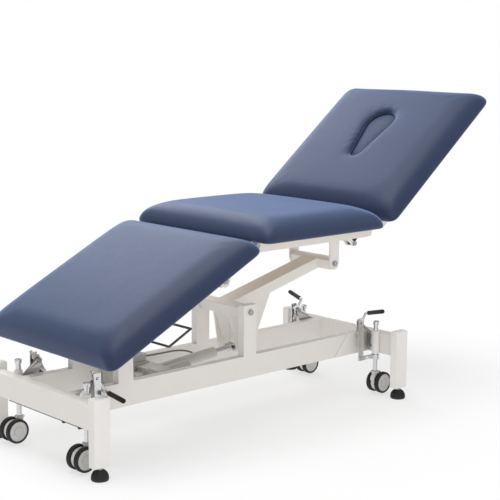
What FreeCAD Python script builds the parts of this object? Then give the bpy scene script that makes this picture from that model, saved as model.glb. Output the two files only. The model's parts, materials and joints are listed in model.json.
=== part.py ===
import FreeCAD, Part
import math
import os

# Three-section examination couch on a parallelogram lift with lever-operated castors.
# Millimetres, +X to the head end, -Y to the operator's side, +Z up from the floor.
# Everything is drawn in the pose of the rest state, with X measured from the middle of
# the base; export() then moves the origin under the middle of the couch's full length.

V = FreeCAD.Vector
X_AXIS, Y_AXIS, Z_AXIS = V(1, 0, 0), V(0, 1, 0), V(0, 0, 1)
RAISE = V(0, -1, 0)  # turning about this axis lifts whatever lies on the +X side
SIDES = (-1, 1)

ORIGIN_X = 191.1  # from the middle of the base to the middle of the full length

# ---- fits
RUN = 0.05  # radial clearance of a running fit
OPEN_PIVOT = 4.5  # radial clearance where a closed linkage is opened
WALL = 2.5  # wall of the steel tubes

# ---- base frame
BASE_HALF_L = 722.8
BASE_HALF_W = 307.0
LEG_X, LEG_Y = 60.0, 30.0
LEG_Z0, LEG_Z1 = 42.0, 257.0
MEMBER_Z0, MEMBER_Z1 = 160.0, 240.0
MEMBER_T = 40.0
RAIL_OUT, RAIL_T = 142.6, 30.0
RAIL_IN = RAIL_OUT - RAIL_T
POST_X, POST_Z1 = 60.0, 418.0
CAP_T = 3.0
FISH_T = 4.0
TRAY_BOLT_X = (-395.0, -273.0)

# ---- lift
HEAD_PIVOT = (67.8, 395.0)
FOOT_PIVOT = (-477.5, 395.0)
ARM_LEN = 471.0
ARM_TILT = 14.4
ARM_HALF_W, ARM_HALF_H = 39.0, 19.0
LOW_TUBE_HALF, UP_TUBE_HALF = 110.0, 102.0
PIN_R = 6.0
CRANK = (108.0, 240.0)
ACTUATOR_REAR = (-330.0, 205.0)

# ---- pads and their frames
PAD_HALF_W, PAD_T = 360.0, 72.0
PAD_Z = 672.0
PAD_CORNER, PAD_TOP_EDGE, PAD_LOW_EDGE = 50.0, 40.0, 5.0
BOARD_T, BOARD_INSET = 12.0, 25.0
HOLE_WIDE_X, HOLE_NARROW_X = 450.0, 285.0  # centres of the two ends, measured from HEAD_X0
HOLE_WIDE_R, HOLE_NARROW_R = 64.0, 28.0
HOLE_GAP = 2.0
SEAT_X0, SEAT_X1 = -55.0, 537.0
LEG_X0, LEG_X1 = -758.0, -63.0
HEAD_X0, HEAD_X1 = 566.4, 1259.0
LEG_HINGE = (-27.0, 658.0)
HEAD_HINGE = (555.0, 690.0)
LEG_DROP, HEAD_RAISE = 26.6, 38.5
SEAT_OUT, SEAT_TUBE = 268.0, 20.0
WING_OUT = 269.5
FRAME_H = 40.0
EAR_OUT, EAR_T = 275.0, 6.0
PIVOT_HEAD_Y = 275.2  # where the heads of the section hinge bolts sit
LEG_SPRING_Y, HEAD_SPRING_Y = 160.0, -142.0
LEG_SPRING_LOW, LEG_SPRING_TOP = (-12.0, 585.0), (-330.0, 614.0)  # top given with the section flat
HEAD_SPRING_LOW, HEAD_SPRING_TOP = (578.0, 590.0), (780.0, 614.0)
SPRING_ROD_LEN = 170.0

# ---- release handle under the leg section, given with the section flat
HANDLE_X = (-424.0, -496.0)
HANDLE_Y0, HANDLE_Y1 = -200.0, -304.0
HANDLE_Z, HANDLE_R = 589.0, 4.0

# ---- handset
BUTTON_Z = 262.0
BUTTONS = {"hand_button_up": -286.0, "hand_button_down": -256.0}

# ---- castors
CASTOR_X, CASTOR_Y = 670.0, 195.0
WHEEL_R, WHEEL_W, WHEEL_GAP = 41.0, 18.0, 11.0
TRAIL, AXLE_Z = 22.0, 45.0
HUB_R = 33.0
STEM_R, SPIGOT_R = 9.0, 5.0
LEVER_PIVOT = (60.0, 277.0)  # distance inboard of the stem, height
LEVER_SWING = 100.0
CRANK_R = 12.0
GRIP_SPREAD = 15.0
GRIP_R, GRIP_START, GRIP_END = 8.0, 12.0, 78.0  # lengths from the bend of the lever rod
BRACKET_Y, LEVER_Y, YOKE_Y = 31.0, 25.0, 11.0  # outer faces, measured inboard of the stem
PLATE_T = 4.0
FLANGE_BOLT_Z = (182.0, 222.0)


def box(x0, x1, y0, y1, z0, z1):
    """A block between two corners, given in either order."""
    x0, x1 = sorted((x0, x1))
    y0, y1 = sorted((y0, y1))
    z0, z1 = sorted((z0, z1))
    return Part.makeBox(x1 - x0, y1 - y0, z1 - z0, V(x0, y0, z0))


def tube(x0, x1, y0, y1, z0, z1, along):
    """A rectangular tube, open at both ends."""
    x0, x1 = sorted((x0, x1))
    y0, y1 = sorted((y0, y1))
    gap = [WALL, WALL, WALL]
    gap["XYZ".index(along)] = -1.0
    core = box(x0 + gap[0], x1 - gap[0], y0 + gap[1], y1 - gap[1], z0 + gap[2], z1 - gap[2])
    return box(x0, x1, y0, y1, z0, z1).cut(core)


def bar(start, end, radius):
    """A round bar between two points."""
    start, end = V(*start), V(*end)
    return Part.makeCylinder(radius, (end - start).Length, start, end - start)


def bar_y(xz, y0, y1, radius):
    """A round bar parallel to Y."""
    return bar((xz[0], min(y0, y1), xz[1]), (xz[0], max(y0, y1), xz[1]), radius)


def bent_bar(points, radius):
    """Round bar through several points, with a ball at every bend."""
    parts = [bar(a, b, radius) for a, b in zip(points, points[1:])]
    parts += [Part.makeSphere(radius, V(*p)) for p in points[1:-1]]
    return fuse(parts)


def plate(outline, y0, y1):
    """A flat plate in the XZ plane between two Y values."""
    y0, y1 = sorted((y0, y1))
    corners = [V(x, y0, z) for x, z in outline]
    face = Part.Face(Part.makePolygon(corners + corners[:1]))
    return face.extrude(V(0, y1 - y0, 0))


def fuse(parts):
    """One solid from overlapping parts."""
    return parts[0].multiFuse(parts[1:]).removeSplitter() if len(parts) > 1 else parts[0]


def drill(shape, holes):
    """The shape with every hole taken out."""
    for hole in holes:
        shape = shape.cut(hole)
    return shape


def turned(shape, pivot, degrees):
    """A copy turned about a Y-parallel line, positive lifting the +X side."""
    copy = shape.copy()
    copy.rotate(V(pivot[0], 0, pivot[1]), RAISE, degrees)
    return copy


def turned_point(point, pivot, degrees):
    """Where an (x, z) point goes in the same turn."""
    a = math.radians(degrees)
    dx, dz = point[0] - pivot[0], point[1] - pivot[1]
    return (
        pivot[0] + dx * math.cos(a) - dz * math.sin(a),
        pivot[1] + dx * math.sin(a) + dz * math.cos(a),
    )


def softened(shape, radius, along):
    """Rounds every straight edge that runs along one axis."""
    axis = {"X": X_AXIS, "Y": Y_AXIS, "Z": Z_AXIS}[along]
    edges = [
        e
        for e in shape.Edges
        if isinstance(e.Curve, Part.Line) and abs(e.tangentAt(e.FirstParameter).dot(axis)) > 0.999
    ]
    return shape.makeFillet(radius, edges)


def bolt_y(xz, face, inward, shank, shank_r, head_r, head_h):
    """A hexagon bolt along Y with its head on the face at y = face; inward is +1 or -1."""
    head = Part.makeCylinder(head_r, head_h, V(xz[0], face, xz[1]), V(0, -inward, 0))
    hexagon = Part.Face(
        Part.makePolygon(
            [
                V(
                    xz[0] + head_r * math.cos(math.radians(60 * k)),
                    face,
                    xz[1] + head_r * math.sin(math.radians(60 * k)),
                )
                for k in range(7)
            ]
        )
    ).extrude(V(0, -inward * head_h, 0))
    return fuse([head.common(hexagon), bar_y(xz, face, face + inward * shank, shank_r)])


def export(name, *solids):
    """Writes one node, as one solid or several separate ones."""
    shape = solids[0].copy() if len(solids) == 1 else Part.makeCompound(list(solids))
    shape.translate(V(-ORIGIN_X, 0, 0))
    shape.exportStep("parts/" + name + ".step")


# ---------------------------------------------------------------- base


def base_frame():
    """Legs, cross-members, rails, posts, castor sleeves and brackets welded into one frame."""
    parts = []
    cuts = []
    for sx in SIDES:
        out_x = sx * BASE_HALF_L
        in_x = sx * (BASE_HALF_L - MEMBER_T)
        inner_y = BASE_HALF_W - LEG_Y
        parts.append(tube(in_x, out_x, -inner_y - 1, inner_y + 1, MEMBER_Z0, MEMBER_Z1, "Y"))
        for sy in SIDES:
            y0, y1 = sy * inner_y, sy * BASE_HALF_W
            leg_in = sx * (BASE_HALF_L - LEG_X)
            parts.append(tube(leg_in, out_x, y0, y1, LEG_Z0, LEG_Z1, "Z"))
            parts.append(box(leg_in, out_x, y0, y1, LEG_Z0, LEG_Z0 + 5))
            foot = V(sx * (BASE_HALF_L - LEG_X / 2), sy * (BASE_HALF_W - LEG_Y / 2), 0)
            cuts.append(Part.makeCylinder(5.0, LEG_Z0 + 6, foot))
            stem = V(sx * CASTOR_X, sy * CASTOR_Y, MEMBER_Z0)
            parts.append(Part.makeCylinder(14.0, 88.0, stem))
            cuts.append(Part.makeCylinder(STEM_R + RUN, 100.0, stem + V(0, 0, -5)))
            parts.append(fish_plate(sx, sy))
    for sy in SIDES:
        rail_end = BASE_HALF_L - MEMBER_T + 1
        rail_y = (sy * RAIL_IN, sy * RAIL_OUT)
        parts.append(tube(-rail_end, rail_end, *rail_y, MEMBER_Z0, MEMBER_Z1, "X"))
        for pivot in (HEAD_PIVOT, FOOT_PIVOT):
            x0, x1 = pivot[0] - POST_X / 2, pivot[0] + POST_X / 2
            parts.append(tube(x0, x1, sy * RAIL_IN, sy * RAIL_OUT, MEMBER_Z1 - 3, POST_Z1, "Z"))
            cuts.append(bar_y(pivot, sy * 100, sy * 150, PIN_R))
    parts.append(box(-410, -215, -RAIL_IN - 1, RAIL_IN + 1, 165, 169))
    for sy in SIDES:
        lug = [(-352, 168), (-352, 190), (-341, 216), (-319, 216), (-308, 190), (-308, 168)]
        parts.append(plate(lug, sy * 18, sy * 24))
    cuts.append(bar_y(ACTUATOR_REAR, -30, 30, PIN_R))
    for sy in SIDES:
        for x in TRAY_BOLT_X:
            cuts.append(Part.makeCylinder(3.0, 5, V(x, sy * (RAIL_IN + RAIL_T / 2), MEMBER_Z0 - 1)))
    return drill(fuse(parts), cuts)


def fish_plate(sx, sy):
    """Slant-ended plate welded over each rail where it meets the cross-member."""
    end = BASE_HALF_L - MEMBER_T + 0.5
    outline = [(end, MEMBER_Z0), (end, MEMBER_Z1), (563, MEMBER_Z1), (498, MEMBER_Z0)]
    return plate([(sx * x, z) for x, z in outline], sy * (RAIL_OUT - 0.5), sy * (RAIL_OUT + FISH_T))


def tube_cap(x, y, z, size_x, size_y):
    """Plastic cap with a spigot that closes the top of an upright tube."""
    top = box(x - size_x / 2, x + size_x / 2, y - size_y / 2, y + size_y / 2, z, z + CAP_T)
    top = softened(top, 3.0, "Z")
    inset = WALL + 0.05
    plug = box(
        x - size_x / 2 + inset,
        x + size_x / 2 - inset,
        y - size_y / 2 + inset,
        y + size_y / 2 - inset,
        z - 10,
        z,
    )
    return top.fuse(plug).removeSplitter()


def tube_caps():
    caps = []
    for sx in SIDES:
        for sy in SIDES:
            x = sx * (BASE_HALF_L - LEG_X / 2)
            y = sy * (BASE_HALF_W - LEG_Y / 2)
            caps.append(tube_cap(x, y, LEG_Z1, LEG_X, LEG_Y))
    for pivot in (HEAD_PIVOT, FOOT_PIVOT):
        for sy in SIDES:
            caps.append(tube_cap(pivot[0], sy * (RAIL_OUT - RAIL_T / 2), POST_Z1, POST_X, RAIL_T))
    return caps


def foot_positions():
    x = BASE_HALF_L - LEG_X / 2
    y = BASE_HALF_W - LEG_Y / 2
    return [V(sx * x, sy * y, 0) for sx in SIDES for sy in SIDES]


def rubber_foot(at):
    """Domed rubber foot, moulded round the end of its stud."""
    profile = [V(0, 0, 0), V(26, 0, 0), V(28, 0, 3), V(28, 0, 9)]
    side = Part.makePolygon(profile)
    dome = Part.Arc(V(28, 0, 9), V(22, 0, 26), V(11, 0, 34)).toShape()
    close = Part.makePolygon([V(11, 0, 34), V(0, 0, 34), V(0, 0, 0)])
    face = Part.Face(Part.Wire(side.Edges + [dome] + close.Edges))
    foot = face.revolve(V(0, 0, 0), Z_AXIS, 360)
    foot = foot.cut(Part.makeCylinder(5.0, 40, V(0, 0, 12)))
    foot.translate(at)
    return foot


def foot_stud(at):
    """Threaded stud with its lock nut under the leg."""
    nut = Part.makeCylinder(9.0, LEG_Z0 - 34.0, at + V(0, 0, 34), Z_AXIS)
    return fuse([Part.makeCylinder(5.0, 58, at + V(0, 0, 12)), nut])


def lower_pivot_bolts():
    bolts = []
    for pivot in (HEAD_PIVOT, FOOT_PIVOT):
        for sy in SIDES:
            bolts.append(bolt_y(pivot, sy * RAIL_OUT, -sy, 64, PIN_R, 11, 7))
    return bolts


# ---------------------------------------------------------------- lift


def lift_arm(pivot, upper_radius):
    """Box-section swing arm with a cross-tube at each end, drawn level and then tilted."""
    x, z = pivot
    far = x + ARM_LEN
    beam = tube(x + 18, far - 18, -ARM_HALF_W, ARM_HALF_W, z - ARM_HALF_H, z + ARM_HALF_H, "X")
    parts = [beam]
    cuts = []
    for centre, half, radius in ((x, LOW_TUBE_HALF, PIN_R + RUN), (far, UP_TUBE_HALF, upper_radius)):
        cross = tube(centre - 20, centre + 20, -half, half, z - 20, z + 20, "Y")
        parts.append(softened(cross, 4.0, "Y"))
        for sy in SIDES:
            parts.append(box(centre - 18, centre + 18, sy * half, sy * (half - 40), z - 18, z + 18))
            cuts.append(bar_y((centre, z), sy * (half + 1), sy * (half - 41), radius))
    return turned(drill(fuse(parts), cuts), pivot, ARM_TILT)


def level_rim(x0, x1, half_w, z):
    """A level rectangle, used as one end of a tapering web."""
    corners = [V(x0, -half_w, z), V(x1, -half_w, z), V(x1, half_w, z), V(x0, half_w, z)]
    return Part.makePolygon(corners + corners[:1])


def head_lift_arm():
    """The driven arm: it carries the bell crank that the actuator pushes."""
    arm = lift_arm(HEAD_PIVOT, PIN_R + RUN)
    outline = [(52, 378), (269, 434), (190, 295), (140, 236), (118, 222), (98, 222), (88, 238)]
    parts = [arm]
    for sy in SIDES:
        cheek = plate(outline, sy * 32, sy * 38)
        cheek.rotate(V(0, sy * 38, 400), X_AXIS, sy * 5.7)
        parts.append(cheek)
    rims = [level_rim(56, 60, 35, 378), level_rim(81, 85, 23, 276)]
    parts.append(Part.makeLoft(rims, True))
    return drill(fuse(parts), [bar_y(CRANK, -60, 60, 5.0)])


def actuator_angle():
    dx, dz = CRANK[0] - ACTUATOR_REAR[0], CRANK[1] - ACTUATOR_REAR[1]
    return math.degrees(math.atan2(dz, dx)), math.hypot(dx, dz)


def actuator_housing():
    """Gear housing with rear eye and outer tube, and the motor beside it."""
    x, z = ACTUATOR_REAR
    angle, _ = actuator_angle()
    eye = fuse([bar_y((x, z), -16, 16, 13), box(x, x + 32, -16, 16, z - 11, z + 11)])
    gearbox = softened(box(x + 30, x + 92, -28, 28, z - 24, z + 24), 5.0, "X")
    outer = bar((x + 90, 0, z), (x + 352, 0, z), 19)
    body = fuse([eye, gearbox, outer])
    bore = bar((x + 96, 0, z), (x + 353, 0, z), 11 + RUN)
    body = drill(body, [bore, bar_y((x, z), -30, 30, PIN_R + RUN)])
    motor = fuse(
        [
            softened(box(x + 34, x + 88, -84, -28, z - 22, z + 26), 6.0, "X"),
            bar((x + 86, -57, z + 2), (x + 180, -57, z + 2), 23),
            bar((x + 179, -57, z + 2), (x + 186, -57, z + 2), 18),
        ]
    )
    return [turned(s, ACTUATOR_REAR, angle) for s in (body, motor)]


def actuator_rod():
    x, z = ACTUATOR_REAR
    angle, length = actuator_angle()
    end = x + length
    rod = bar((x + 150, 0, z), (end - 14, 0, z), 11)
    eye = bar_y((end, z), -12, 12, 16)
    neck = box(end - 30, end - 8, -9, 9, z - 9, z + 9)
    eye_bore = bar_y((end, z), -20, 20, 5.0 + OPEN_PIVOT)
    return turned(drill(fuse([rod, eye, neck]), [eye_bore]), ACTUATOR_REAR, angle)


# ---------------------------------------------------------------- pads and frames


def cushion(x0, x1):
    """Upholstered pad with rounded plan corners and a pocket underneath for its board."""
    pad = box(x0, x1, -PAD_HALF_W, PAD_HALF_W, PAD_Z, PAD_Z + PAD_T)
    pad = softened(pad, PAD_CORNER, "Z")
    top = [e for e in pad.Edges if abs(e.CenterOfMass.z - PAD_Z - PAD_T) < 0.01]
    pad = pad.makeFillet(PAD_TOP_EDGE, top)
    low = [e for e in pad.Edges if abs(e.CenterOfMass.z - PAD_Z) < 0.01]
    pad = pad.makeFillet(PAD_LOW_EDGE, low)
    return pad.cut(inlay(x0, x1, BOARD_INSET - 1, PAD_Z - 1))


def inlay(x0, x1, inset, z0):
    """Flat block set back from every side of a pad, up to the top of its board."""
    half = PAD_HALF_W - inset
    return box(x0 + inset, x1 - inset, -half, half, z0, PAD_Z + BOARD_T)


def board(x0, x1):
    return inlay(x0, x1, BOARD_INSET, PAD_Z)


def hole_outline(grow):
    """Teardrop outline of the breathing hole on the head pad, wide end to the head."""
    wide_x, narrow_x = HEAD_X0 + HOLE_WIDE_X, HEAD_X0 + HOLE_NARROW_X
    wide_r, narrow_r = HOLE_WIDE_R + grow, HOLE_NARROW_R + grow
    tilt = math.asin((wide_r - narrow_r) / (wide_x - narrow_x))
    c, s = math.cos(tilt), math.sin(tilt)
    a0 = V(wide_x - wide_r * s, wide_r * c, 0)
    a1 = V(narrow_x - narrow_r * s, narrow_r * c, 0)
    b0, b1 = V(a0.x, -a0.y, 0), V(a1.x, -a1.y, 0)
    edges = [
        Part.Arc(b0, V(wide_x + wide_r, 0, 0), a0).toShape(),
        Part.makeLine(a0, a1),
        Part.Arc(a1, V(narrow_x - narrow_r, 0, 0), b1).toShape(),
        Part.makeLine(b1, b0),
    ]
    return Part.Face(Part.Wire(edges))


def hole_prism(grow, z0, z1):
    prism = hole_outline(grow).extrude(V(0, 0, z1 - z0))
    prism.translate(V(0, 0, z0))
    return prism


def tube_pair(x0, x1, outer):
    """The two long side tubes of a pad frame."""
    return [
        tube(x0, x1, sy * (outer - SEAT_TUBE), sy * outer, PAD_Z - FRAME_H, PAD_Z, "X") for sy in SIDES
    ]


def cross_tube(x0, x1, outer):
    """A tube across a pad frame, let a little into both side tubes."""
    half = outer - SEAT_TUBE + 1
    return tube(x0, x1, -half, half, PAD_Z - FRAME_H, PAD_Z, "Y")


def spring_lug(low, spring_y, top_x0, top_x1, lean):
    """Two plates that hold the lower end of a gas spring."""
    x, z = low
    outline = [
        (top_x0, PAD_Z - FRAME_H + 1),
        (x - 12 + lean, z + 4),
        (x - 8, z - 11),
        (x + 8, z - 11),
        (x + 12 + lean, z + 4),
        (top_x1, PAD_Z - FRAME_H + 1),
    ]
    return [plate(outline, spring_y + s * 12, spring_y + s * 17) for s in SIDES]


def spring_pin_bore(point, spring_y, radius=5.0):
    return bar_y(point, spring_y - 25, spring_y + 25, radius)


def upper_pivots():
    return [turned_point((p[0] + ARM_LEN, p[1]), p, ARM_TILT) for p in (HEAD_PIVOT, FOOT_PIVOT)]


def seat_frame():
    """Seat frame with the four drop plates that hang on the lift arms."""
    head_up, foot_up = upper_pivots()
    parts = tube_pair(-50, 532, SEAT_OUT)
    parts += [
        cross_tube(foot_up[0] - 18, foot_up[0] + 18, SEAT_OUT),
        cross_tube(head_up[0] - 27, head_up[0] + 8, SEAT_OUT),
        cross_tube(235, 265, SEAT_OUT),
    ]
    cuts = []
    for x, z in (head_up, foot_up):
        for sy in SIDES:
            y0, y1 = sy * (UP_TUBE_HALF + 2), sy * (UP_TUBE_HALF + 8)
            outline = [(x - 24, 634), (x - 24, z), (x - 17, z - 17), (x, z - 24), (x + 17, z - 17)]
            outline += [(x + 24, z), (x + 24, 632.5), (x + 6, 634)]
            parts.append(plate(outline, y0, y1))
            cuts.append(bar_y((x, z), y0 - sy, y1 + sy, PIN_R))
    hx, hz = HEAD_HINGE
    ear = [(500, 634), (500, 671), (539, 671), (545, 690), (548, 697), (555, 700)]
    ear += [(562, 697), (565, 690), (563, 668), (548, 634)]
    for sy in SIDES:
        parts.append(plate(ear, sy * (SEAT_OUT - EAR_T), sy * SEAT_OUT))
        cuts.append(bar_y((hx, hz), sy * (SEAT_OUT - 10), sy * (SEAT_OUT + 2), PIN_R))
        cuts.append(bar_y(LEG_HINGE, sy * (SEAT_OUT - 25), sy * (SEAT_OUT + 2), PIN_R))
    parts += spring_lug(LEG_SPRING_LOW, LEG_SPRING_Y, foot_up[0] - 16, foot_up[0] + 16, 0)
    parts += spring_lug(HEAD_SPRING_LOW, HEAD_SPRING_Y, head_up[0] - 25, head_up[0] + 7, -10)
    for point, y in ((LEG_SPRING_LOW, LEG_SPRING_Y), (HEAD_SPRING_LOW, HEAD_SPRING_Y)):
        cuts.append(spring_pin_bore(point, y))
    return drill(fuse(parts), cuts)


def wing_frame(hinge, x0, x1, spring_top, spring_y, ear):
    """Frame of a folding section, drawn flat: side tubes, cross tubes, hinge ears, spring lug."""
    parts = tube_pair(x0, x1, WING_OUT)
    low, high = min(x0, x1), max(x0, x1)
    near_x = high - 20 if hinge[0] > high else low
    far_x = low if hinge[0] > high else high - 20
    parts.append(cross_tube(near_x, near_x + 20, WING_OUT))
    parts.append(cross_tube(far_x, far_x + 20, WING_OUT))
    parts.append(cross_tube(spring_top[0] - 15, spring_top[0] + 15, WING_OUT))
    x, z = spring_top
    lug_z = (PAD_Z - FRAME_H + 1, z - 12)
    lug = [(x - 13, lug_z[0]), (x - 13, lug_z[1]), (x + 13, lug_z[1]), (x + 13, lug_z[0])]
    cuts = []
    for s in SIDES:
        parts.append(plate(lug, spring_y + s * 12, spring_y + s * 17))
        parts.append(plate(ear, s * (EAR_OUT - EAR_T), s * EAR_OUT))
        cuts.append(bar_y(hinge, s * (EAR_OUT - EAR_T - 1), s * (EAR_OUT + 2), PIN_R + RUN))
    cuts.append(spring_pin_bore(spring_top, spring_y))
    return drill(fuse(parts), cuts)


def leg_frame():
    hx, hz = LEG_HINGE
    ear = [(-110, 634), (-110, 671), (hx, hz + 13), (hx + 9, hz + 9), (hx + 13, hz)]
    ear += [(hx + 9, hz - 9), (hx, hz - 13), (-70, 634)]
    frame = wing_frame(LEG_HINGE, -712, -72, LEG_SPRING_TOP, LEG_SPRING_Y, ear)
    shelf_z = PAD_Z - FRAME_H
    shelf_y = (-WING_OUT + 4, HANDLE_Y0 + 12)
    shelf = box(min(HANDLE_X) - 14, max(HANDLE_X) + 14, *shelf_y, shelf_z - 4, shelf_z + 1)
    parts = [frame, shelf]
    bores = []
    for x in HANDLE_X:
        lug = [(x - 9, shelf_z - 2), (x - 9, HANDLE_Z - 4), (x - 5, HANDLE_Z - 9)]
        lug += [(x + 5, HANDLE_Z - 9), (x + 9, HANDLE_Z - 4), (x + 9, shelf_z - 2)]
        parts.append(plate(lug, HANDLE_Y0 - 3, HANDLE_Y0 + 3))
        ends = [(x + reach, HANDLE_Y0, HANDLE_Z) for reach in (-20, 20)]
        bores.append(bar(*ends, HANDLE_R + RUN))
    return drill(fuse(parts), bores)


def head_frame():
    hx, hz = HEAD_HINGE
    ear = [(hx + 10, hz), (hx + 7, hz + 7), (hx, hz + 10), (hx - 7, hz + 7), (hx - 10, hz)]
    ear += [(576, 634), (625, 634), (625, 671), (563, 671)]
    return wing_frame(HEAD_HINGE, 577, 1216, HEAD_SPRING_TOP, HEAD_SPRING_Y, ear)


def release_handle():
    """Closed ring of bent bar, swinging in the two lugs of the leg frame."""
    x1, x0 = HANDLE_X[0] + 14, HANDLE_X[1] - 14
    corners = [
        ((x0 + x1) / 2, HANDLE_Y0, HANDLE_Z),
        (x1, HANDLE_Y0, HANDLE_Z),
        (x1, HANDLE_Y1, HANDLE_Z),
        (x0, HANDLE_Y1, HANDLE_Z),
        (x0, HANDLE_Y0, HANDLE_Z),
        ((x0 + x1) / 2, HANDLE_Y0, HANDLE_Z),
    ]
    return bent_bar(corners, HANDLE_R)


def gas_spring(low, top, spring_y, cylinder_len):
    """Cylinder and rod of a gas spring between its lower pin and its upper pin."""
    length = math.hypot(top[0] - low[0], top[1] - low[1])
    angle = math.degrees(math.atan2(top[1] - low[1], top[0] - low[0]))
    x, z, y = low[0], low[1], spring_y
    eye = bar_y(low, y - 9, y + 9, 9)
    tank = bar((x + 12, y, z), (x + cylinder_len, y, z), 11)
    cylinder = fuse([eye, bar((x, y, z), (x + 14, y, z), 7), tank])
    bores = [bar_y(low, y - 20, y + 20, 5.0 + RUN)]
    bores.append(bar((x + 26, y, z), (x + cylinder_len + 1, y, z), 5.0 + RUN))
    cylinder = drill(cylinder, bores)
    end = x + length
    rod = bar((end - SPRING_ROD_LEN, y, z), (end - 12, y, z), 5.0)
    top_eye = bar_y((end, z), y - 9, y + 9, 5.0 + OPEN_PIVOT + 4)
    rod = fuse([rod, top_eye])
    rod = drill(rod, [bar_y((end, z), y - 20, y + 20, 5.0 + OPEN_PIVOT)])
    return [turned(s, low, angle) for s in (cylinder, rod)]


def spring_pin(point, spring_y):
    return fuse(
        [
            bar_y(point, spring_y - 17, spring_y + 17, 5.0),
            bar_y(point, spring_y - 22, spring_y - 17, 9.0),
            bar_y(point, spring_y + 17, spring_y + 22, 9.0),
        ]
    )


# ---------------------------------------------------------------- castors


class Corner:
    """One castor corner: turns distances inboard and outboard into couch coordinates."""

    def __init__(self, sx, sy):
        self.sx, self.sy = sx, sy
        self.up = sx > 0  # the head-end levers stand up at rest, the foot-end ones lie down
        self.name = ("near" if sy < 0 else "far") + "_" + ("head" if sx > 0 else "foot")

    def x(self, inboard):
        return self.sx * (CASTOR_X - inboard)

    def y(self, inboard):
        return self.sy * (CASTOR_Y - inboard)

    def plate(self, outline, outer):
        """A plate whose outer face lies a given distance inboard of the stem."""
        points = [(self.x(a), z) for a, z in outline]
        return plate(points, self.y(outer), self.y(outer + PLATE_T))

    def pivot(self):
        return (self.x(LEVER_PIVOT[0]), LEVER_PIVOT[1])

    def crank_side(self):
        return 1 if self.up else -1

    def crank_pin(self):
        a, z = LEVER_PIVOT
        half = math.radians(LEVER_SWING / 2)
        return (
            self.x(a + self.crank_side() * CRANK_R * math.cos(half)),
            z + CRANK_R * math.sin(half),
        )

    def rod_ends(self):
        """Tail and bend of the lever rod as (inboard, height)."""
        return ((82.0, 241.0), (36.0, 317.0)) if self.up else ((35.0, 310.0), (90.0, 234.0))


CORNERS = [Corner(sx, sy) for sx in SIDES for sy in SIDES]


def disc(corner, xz, radius, outer, thickness):
    return bar_y(xz, corner.y(outer), corner.y(outer + thickness), radius)


def castor_bracket(c):
    """Chromed plate that carries the lever, with a flange bolted to the cross-member."""
    a, z = LEVER_PIVOT
    wall = CASTOR_X - (BASE_HALF_L - MEMBER_T)
    outline = [(wall, 168), (wall, 236), (a - 9, z + 8), (a, z + 12), (a + 9, z + 8)]
    outline += [(a + 12, z), (a + 9, z - 9), (30, 168)]
    web = c.plate(outline, BRACKET_Y)
    flange = box(c.x(wall), c.x(wall + 3), c.y(17), c.y(BRACKET_Y + PLATE_T), 168, 236)
    bores = [bar_y(c.pivot(), c.y(20), c.y(45), 4.0)]
    for z in FLANGE_BOLT_Z:
        bores.append(bar((c.x(wall - 1), c.y(24), z), (c.x(wall + 9), c.y(24), z), 3.0))
    return drill(fuse([web, flange]), bores)


def lever_pivot_bolt(c):
    """Shouldered bolt that goes through the bracket into the hub of the lever."""
    head = bar_y(c.pivot(), c.y(BRACKET_Y + PLATE_T), c.y(BRACKET_Y + PLATE_T + 5), 7.0)
    return fuse([head, bar_y(c.pivot(), c.y(BRACKET_Y + PLATE_T + 2), c.y(LEVER_Y - 5), 4.0)])


def small_bolt(face, inward):
    """Round-headed bolt with its head on a face and its shank going in."""
    head = bar(face, tuple(V(*face) - inward * 4.0), 5.0)
    shank = bar(face, tuple(V(*face) + inward * 3.0), 3.0)
    return fuse([head, shank])


def flange_bolts(c):
    """The two bolts that hold one lever bracket to the cross-member."""
    wall = CASTOR_X - (BASE_HALF_L - MEMBER_T)
    return [small_bolt((c.x(wall + 3), c.y(24), z), V(c.sx, 0, 0)) for z in FLANGE_BOLT_Z]


def lever(c):
    """Toggle lever: plate, bent rod and the crank pin that drives the yoke."""
    tail, bend = c.rod_ends()
    rod_y = c.y(LEVER_Y - 3)
    start = V(c.x(tail[0]), rod_y, tail[1])
    corner = V(c.x(bend[0]), rod_y, bend[1])
    run = (corner - start).normalize()
    spread = math.radians(GRIP_SPREAD)
    out = V(0, c.sy * math.cos(spread), 0) + run * math.sin(spread)
    tip = corner + out * (GRIP_END - 4.0)
    rod = bent_bar([tuple(start), tuple(corner), tuple(tip)], 5.0)
    crank = c.crank_pin()
    web = c.plate(lever_outline(c), LEVER_Y)
    hub = disc(c, c.pivot(), 9.0, LEVER_Y - 6, 10)
    pin = bar_y(crank, c.y(LEVER_Y + 1), c.y(YOKE_Y - 2), 3.0)
    body = fuse([web, hub, rod, pin])
    bore = bar_y(c.pivot(), c.y(LEVER_Y + 6), c.y(LEVER_Y - 5), 4.0 + RUN)
    return drill(body, [bore]), (corner, out)


def lever_outline(c):
    """Triangular web of the lever, from the rod round the pivot and the crank pin."""
    a, z = LEVER_PIVOT
    if c.up:
        return [(82, 238), (77, 268), (80, 290), (72, 298), (50, 300), (46, 280), (76, 236)]
    return [(88, 232), (74, 268), (64, 296), (50, 300), (38, 300), (44, 272), (84, 230)]


def grip(corner, out):
    """Rubber grip pushed over the end of the lever rod."""
    start = corner + out * GRIP_START
    end = corner + out * GRIP_END
    sleeve = fuse([bar(tuple(start), tuple(end), GRIP_R), Part.makeSphere(GRIP_R, end)])
    return sleeve.cut(bar(tuple(start - out * 1.0), tuple(end - out * 4.0), 5.0))


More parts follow.
